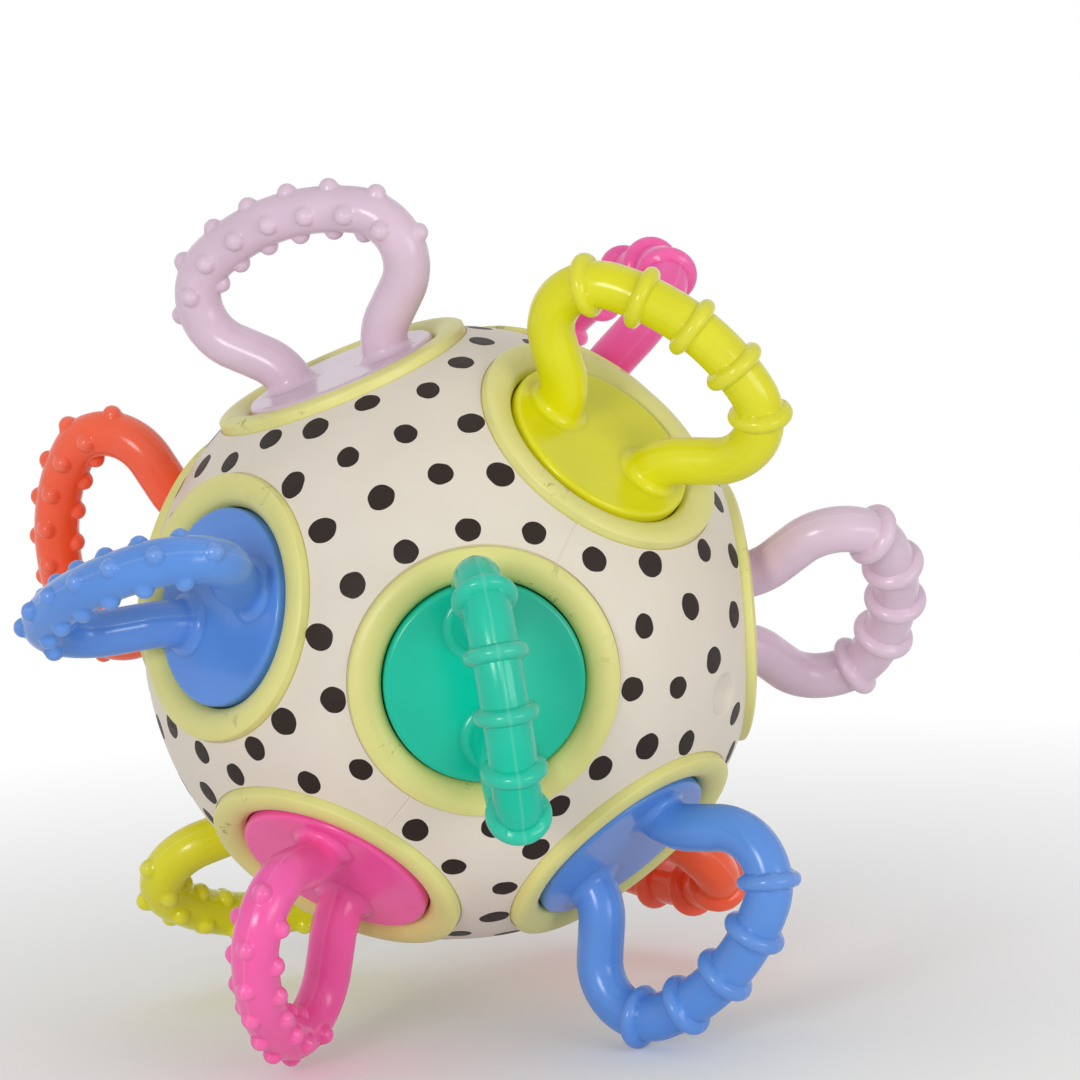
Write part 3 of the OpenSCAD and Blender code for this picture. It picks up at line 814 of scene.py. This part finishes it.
class Outline:
    """The middle line of a handle's bar: half of the top arc, shoulder, straight leg and foot bend on each
    side. A point is found by its distance along the line from the top's middle, and the arcs' centres by
    going back from the foot: each arc ends where the next begins, square to the same radius."""

    def __init__(self, s):
        flare = s.flare
        down = np.array([math.cos(flare), -math.sin(flare)])
        self.s = s
        self.root = s.face_t / 2
        self.foot_c = np.array([s.foot_gap / 2 + s.foot_bend, -self.root])
        self.leg_a = self.foot_c - s.foot_bend * down
        self.leg_b = self.leg_a + s.leg * np.array([math.sin(flare), math.cos(flare)])
        self.shoulder_c = self.leg_b - s.shoulder_r * down
        drop = math.sqrt((s.top_r - s.shoulder_r) ** 2 - self.shoulder_c[0] ** 2)
        self.top_c = np.array([0, self.shoulder_c[1] - drop])
        self.join = math.atan2(drop, self.shoulder_c[0])
        self.top_l = s.top_r * (math.pi / 2 - self.join)
        self.shoulder_l = self.top_l + s.shoulder_r * (flare + self.join)
        self.leg_l = self.shoulder_l + s.leg
        self.half = self.leg_l + s.foot_bend * flare

    def at(self, along):
        """Middle points, outward normals and curvature at signed distances along the bar.

        The normal's angle falls by distance / radius on the top arc and the shoulder, stays on the leg,
        and rises again on the foot's bend, whose centre lies outside the handle."""
        s, far, side = self.s, np.abs(along), np.where(along < 0, -1.0, 1.0)
        stretch = [far < self.top_l, far < self.shoulder_l, far < self.leg_l]
        foot = (far - self.leg_l) / s.foot_bend - s.flare
        angle = np.select(stretch, [
            math.pi / 2 - far / s.top_r,
            self.join - (far - self.top_l) / s.shoulder_r,
            np.full_like(far, -s.flare),
        ], foot)
        normal = np.stack([np.cos(angle), np.sin(angle)], axis=-1)
        way = np.array([-math.sin(s.flare), -math.cos(s.flare)])
        middle = np.select([m[..., None] for m in stretch], [
            self.top_c + s.top_r * normal,
            self.shoulder_c + s.shoulder_r * normal,
            self.leg_b + (far - self.shoulder_l)[..., None] * way,
        ], self.foot_c - s.foot_bend * normal)
        bend = np.select(stretch, [1 / s.top_r, 1 / s.shoulder_r, 0.0], -1 / s.foot_bend)
        mirror = np.stack([side, np.ones_like(side)], axis=-1)
        return middle * mirror, normal * mirror, bend


def soft_max(first, second, blend):
    """The larger of two heights. Where they differ by less than the blend, a fillet is added: the square
    of what is missing to the blend, as a share of it, times a quarter of the blend."""
    gap = np.clip(blend - np.abs(first - second), 0, None) / blend
    return np.maximum(first, second) + gap**2 * blend / 4


def foot_rings(s, line, turn):
    """Radius and distance along the bar for each point of one foot, ring by ring from below the face.

    A ring of the blend lies level at its height z: a point of it at the distance p from the centre of the
    foot's bend stands there at the angle asin((z + root) / p). The blend is a quarter circle that ends
    level just below the face and runs on there as a skirt, so that no edge shows. Above the blend the
    rings lean over in even steps until they stand square to the leg."""
    swell = np.linspace(0, math.pi / 2, BLEND_ROWS)
    radius = s.bar_r + s.foot_blend * (1 - np.sin(swell))
    height = s.foot_blend * (1 - np.cos(swell)) - s.foot_sink
    skirt = radius[0] + s.foot_skirt
    radius = np.concatenate([[0, skirt, skirt], radius])
    height = np.concatenate([[-line.root, -line.root, -2 * s.foot_sink], height])
    reach = s.foot_bend - radius[:, None] * np.cos(turn)
    rise = np.arcsin((height[:, None] + line.root) / reach)
    lean = np.linspace(0, 1, LEAN_ROWS)[1:-1, None]
    rise = np.concatenate([rise, rise[-1] + (s.flare - rise[-1]) * lean])
    radius = np.concatenate([radius, np.full(len(lean), s.bar_r)])
    return np.repeat(radius[:, None], len(turn), axis=1), line.half - s.foot_bend * rise


def handle_bar(s, h, nubbed):
    """The bar as one surface: a circle carried along the middle line, whose radius grows by the foot
    blend, by spheres in rows (nubs) or by rings (ribs), and by a fine mould line in the handle's plane."""
    line = Outline(s)
    turn = np.arange(BAR_COLUMNS) * 2 * math.pi / BAR_COLUMNS
    turn = turn - CROWDING * np.sin(2 * turn)
    foot_r, foot_a = foot_rings(s, line, turn)
    even = np.linspace(-line.leg_l, line.leg_l, BAR_ROWS)
    a = np.concatenate([-foot_a, np.repeat(even[:, None], BAR_COLUMNS, axis=1), foot_a[::-1]])
    t = np.repeat(turn[None], len(a), axis=0)
    plain = np.concatenate([foot_r, np.full((BAR_ROWS, BAR_COLUMNS), s.bar_r), foot_r[::-1]])
    radius = plain
    middle, normal, bend = line.at(a)
    # Distances on the bar's outside are longer than on its middle line by the bend
    stretch = 1 + bend * s.bar_r * np.cos(t)
    if nubbed:
        centre = s.bar_r + s.nub_h - s.nub_r
        # A nub is a ball whose middle lies at this radius. A ray from the bar's middle line, turned by the
        # swing from the nub's own direction, leaves the ball at centre cos(swing) + sqrt(inner)
        for row_turn, shares in NUB_ROWS:
            for share in shares:
                step = (a - share * s.nub_pitch) * stretch
                swing = np.angle(np.exp(1j * (t - row_turn)))
                inner = s.nub_r**2 - step**2 - (centre * np.sin(swing)) ** 2
                nub = centre * np.cos(swing) + np.sqrt(np.clip(inner, 0, None))
                hit = (inner > 0) & (np.abs(swing) < math.pi / 3)
                radius = np.where(hit, soft_max(radius, nub, s.relief_fillet), radius)
    else:
        for share in RIBS:
            step = (a - share * s.rib_pitch) * stretch
            inner = s.rib_r**2 - step**2
            rib = s.bar_r + s.rib_h - s.rib_r + np.sqrt(np.clip(inner, 0, None))
            radius = np.where(inner > 0, soft_max(radius, rib, s.relief_fillet), radius)
    crest = (radius - plain) / (s.nub_h if nubbed else s.rib_h)
    # The share of a nub's or rib's height paints it paler in the silicone: a painted glow for light through
    # thin silicone
    relief = crest if nubbed else crest / 2
    # The mould line fades out in the foot's blend. Its mark raises the fine line and also paints it paler in
    # the silicone, a painted glow for light through the thin flash
    fade = np.clip(1 - (plain - s.bar_r) / s.flash_fade, 0, 1) * (plain > 0)
    mould = np.exp(-((np.sin(t) * s.bar_r / s.flash_w) ** 2)) * fade
    radius = radius + s.flash_h * mould * (1 - np.clip(crest, 0, 1))
    x, z = np.moveaxis(middle + normal * (radius * np.cos(t))[..., None], -1, 0)
    points = np.stack([x, radius * np.sin(t), z + h.face], axis=-1).reshape(-1, 3)
    return points, grid_faces(len(a), BAR_COLUMNS), relief.ravel(), mould.ravel()


def plunger(s, h):
    """The cup under a handle: the outline of its face, rounded rim, side wall, boss and screw hole, turned
    round Z. The face has rings at even steps of radius, so that its shading stays even."""
    r = s.opening_r - s.plunger_gap
    under = h.face - s.face_t
    share = np.linspace(0, 1, FACE_RINGS)[:-1]
    face = [(x * (r - s.rim_r), h.face, 0) for x in share]
    corners = face + [
        (r, h.face, s.rim_r), (r, h.cup, s.edge_fillet), (r - s.cup_wall, h.cup, s.edge_fillet),
        (r - s.cup_wall, under, s.cup_fillet), (s.boss_r, under, s.cup_fillet), (s.boss_r, h.boss, 0),
        (s.pilot_r, h.boss, 0), (s.pilot_r, h.boss + s.pilot_l, 0), (0, h.boss + s.pilot_l, 0),
    ]
    return revolved(rounded(corners, steps=7), CUP_COLUMNS)


class SENSORYBALL_OT_handles(bpy.types.Operator):
    """Makes the twelve ring handles with their plungers"""

    bl_idname = "sensory_ball.handles"
    bl_label = "Ring handles"

    def execute(self, context):
        s, h = sizes(), Heights(sizes())
        cup = plunger(s, h)
        bars = {kind: handle_bar(s, h, kind == "nubbed") for kind in ("nubbed", "ribbed")}
        finishes = {}
        for name, azimuth, side, spin in PODS:
            shade, kind = name.split("_")
            if shade not in finishes:
                finishes[shade] = silicone(shade)
            place = socket_frame(azimuth, side, spin).T
            points, quads, relief, mould = bars[kind]
            parts = [(points @ place, quads), (cup[0] @ place, cup[1])]
            # The marks paint a pale glow on nubs, ribs and the mould line into the silicone
            make_piece(
                "handle_" + name, parts, finishes[shade], "turn_" + name, shade + "_silicone",
                ("loop_" + name,), sharp=50, relief=relief, mould=mould,
            )
        return {"FINISHED"}


class SENSORYBALL_OT_mechanism(bpy.types.Operator):
    """Gives the sliders and the screws inside the ball their plastic and steel"""

    bl_idname = "sensory_ball.mechanism"
    bl_label = "Sliders and screws"

    def execute(self, context):
        plastic, steel = slider_plastic(), screw_steel()
        for name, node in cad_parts.items():
            if name.startswith("slider_"):
                self.dress(node, plastic)
            if name.startswith("screw_") and name != "screw_plugs" or name == "case_screws":
                self.dress(node, steel)
        return {"FINISHED"}

    @staticmethod
    def dress(node, finish):
        for slot in node.material_slots:
            slot.material = finish


def seen_plainly(tree):
    """1 on rays from the camera, on mirrored rays and on rays through clear pieces, 0 on the others."""
    path = tree.nodes.new("ShaderNodeLightPath")
    kinds = ("Is Camera Ray", "Is Glossy Ray", "Is Transmission Ray")
    seen, gloss, through = (Value(tree, path.outputs[kind]) for kind in kinds)
    return seen.math("MAXIMUM", seen, gloss.math("MAXIMUM", gloss, through))


class SENSORYBALL_OT_stage(bpy.types.Operator):
    """Makes the floor, the lights and the camera"""

    bl_idname = "sensory_ball.stage"
    bl_label = "Studio"

    def execute(self, context):
        scene = context.scene
        scene.view_settings.view_transform = "Standard"
        self.floor()
        self.world()
        self.lights()
        self.camera()
        return {"FINISHED"}

    @staticmethod
    def floor():
        """A flat floor under the part. Away from the part the camera sees it fade into plain white."""
        square = ((-1, -1), (1, -1), (1, 1), (-1, 1))
        corners = [(x * FLOOR_REACH, y * FLOOR_REACH, CAD_BOX[0][2]) for x, y in square]
        mesh = bpy.data.meshes.new("studio_floor")
        mesh.from_pydata(corners, [], [(0, 1, 2, 3)])
        floor = bpy.data.objects.new("studio_floor", mesh)
        bpy.context.scene.collection.objects.link(floor)
        f = Finish("studio_paper")
        paper = f.mix(f.noise(40, detail=4), (0.92, 0.92, 0.92), (0.95, 0.95, 0.95))
        mesh.materials.append(f.set(Base_Color=paper, Roughness=0.9, Specular_IOR_Level=0.1))
        away = f.node("ShaderNodeVectorMath", out="Value", settings={"operation": "LENGTH"}, _0=f.place)
        fade = f.step(away, FADE_START, FADE_END) * seen_plainly(f.tree)
        white = f.node("ShaderNodeEmission", Color=(1, 1, 1, 1), Strength=1.0)
        shader = Value(f.tree, f.shader.outputs["BSDF"])
        shown = f.node("ShaderNodeMixShader", _0=fade, _1=shader, _2=white)
        f.tree.links.new(shown.socket, f.tree.nodes["Material Output"].inputs["Surface"])

    @staticmethod
    def world():
        """White for the camera, for gloss and through clear pieces, and an even light for the rest."""
        world = bpy.data.worlds.new("studio_world")
        world.use_nodes = True
        tree = world.node_tree
        plain = seen_plainly(tree)
        sky = studio().sky
        strength = plain * (1 - sky) + sky
        background = tree.nodes["Background"]
        background.inputs["Color"].default_value = (1, 1, 1, 1)
        tree.links.new(strength.socket, background.inputs["Strength"])
        bpy.context.scene.world = world

    @staticmethod
    def lights():
        stage = studio()
        # Name, place in metres, width and power
        lamps = (
            ("key_light", (-0.58, -1.05, 0.3), 0.3, stage.key_power),
            ("front_light", (0.8, -1.0, 0.0), 0.7, stage.front_power),
            ("top_light", (0.15, 0.2, 1.0), 0.5, stage.top_power),
        )
        for name, place, width, power in lamps:
            lamp = bpy.data.lights.new(name, "AREA")
            lamp.size = width
            lamp.energy = power
            light = bpy.data.objects.new(name, lamp)
            light.location = place
            light.rotation_euler = (-Vector(place)).to_track_quat("-Z", "Y").to_euler()
            bpy.context.scene.collection.objects.link(light)

    @staticmethod
    def camera():
        """The camera stands back from its aim by its distance, and three angles give its axes."""
        stage = studio()
        sin_a, cos_a = math.sin(stage.azimuth), math.cos(stage.azimuth)
        sin_e, cos_e = math.sin(stage.elevation), math.cos(stage.elevation)
        forward = Vector((sin_a * cos_e, cos_a * cos_e, -sin_e))
        level = Vector((cos_a, -sin_a, 0))
        raised = Vector((sin_a * sin_e, cos_a * sin_e, cos_e))
        right = level * math.cos(stage.roll) + raised * math.sin(stage.roll)
        up = raised * math.cos(stage.roll) - level * math.sin(stage.roll)
        lens = bpy.data.cameras.new("photo_camera")
        lens.lens = stage.lens
        lens.sensor_width = 36
        lens.clip_start = 0.05
        lens.clip_end = 20
        camera = bpy.data.objects.new("photo_camera", lens)
        axes = Matrix((right, up, -forward)).transposed()
        stand = Matrix.Translation(Vector(stage.aim) - forward * stage.distance)
        camera.matrix_world = stand @ axes.to_4x4()
        bpy.context.scene.collection.objects.link(camera)
        bpy.context.scene.camera = camera


OPERATORS = (
    SENSORYBALL_OT_stage,
    SENSORYBALL_OT_shell,
    SENSORYBALL_OT_dots,
    SENSORYBALL_OT_plugs,
    SENSORYBALL_OT_bezels,
    SENSORYBALL_OT_handles,
    SENSORYBALL_OT_mechanism,
)
GROUPS = (
    ("sensory_ball_sizes", SENSORYBALL_PG_sizes),
    ("sensory_ball_colours", SENSORYBALL_PG_colours),
    ("sensory_ball_stage", SENSORYBALL_PG_stage),
)


class SENSORYBALL_PT_panel(bpy.types.Panel):
    """Lists the steps that dress the ball"""

    bl_label = "Sensory Ball"
    bl_space_type = "VIEW_3D"
    bl_region_type = "UI"
    bl_category = "Sensory Ball"

    def draw(self, context):
        for step in OPERATORS:
            self.layout.operator(step.bl_idname)
        for name, _ in GROUPS:
            box = self.layout.box()
            group = getattr(context.scene, name)
            for key in group.bl_rna.properties.keys():
                if key not in ("rna_type", "name"):
                    box.prop(group, key)


def register():
    for name, group in GROUPS:
        bpy.utils.register_class(group)
        setattr(bpy.types.Scene, name, bpy.props.PointerProperty(type=group))
    for step in (*OPERATORS, SENSORYBALL_PT_panel):
        bpy.utils.register_class(step)


def unregister():
    for step in (SENSORYBALL_PT_panel, *reversed(OPERATORS)):
        bpy.utils.unregister_class(step)
    for name, group in reversed(GROUPS):
        delattr(bpy.types.Scene, name)
        bpy.utils.unregister_class(group)


def main():
    register()
    for step in OPERATORS:
        group, action = step.bl_idname.split(".")
        getattr(getattr(bpy.ops, group), action)()


if __name__ == "__main__":
    main()
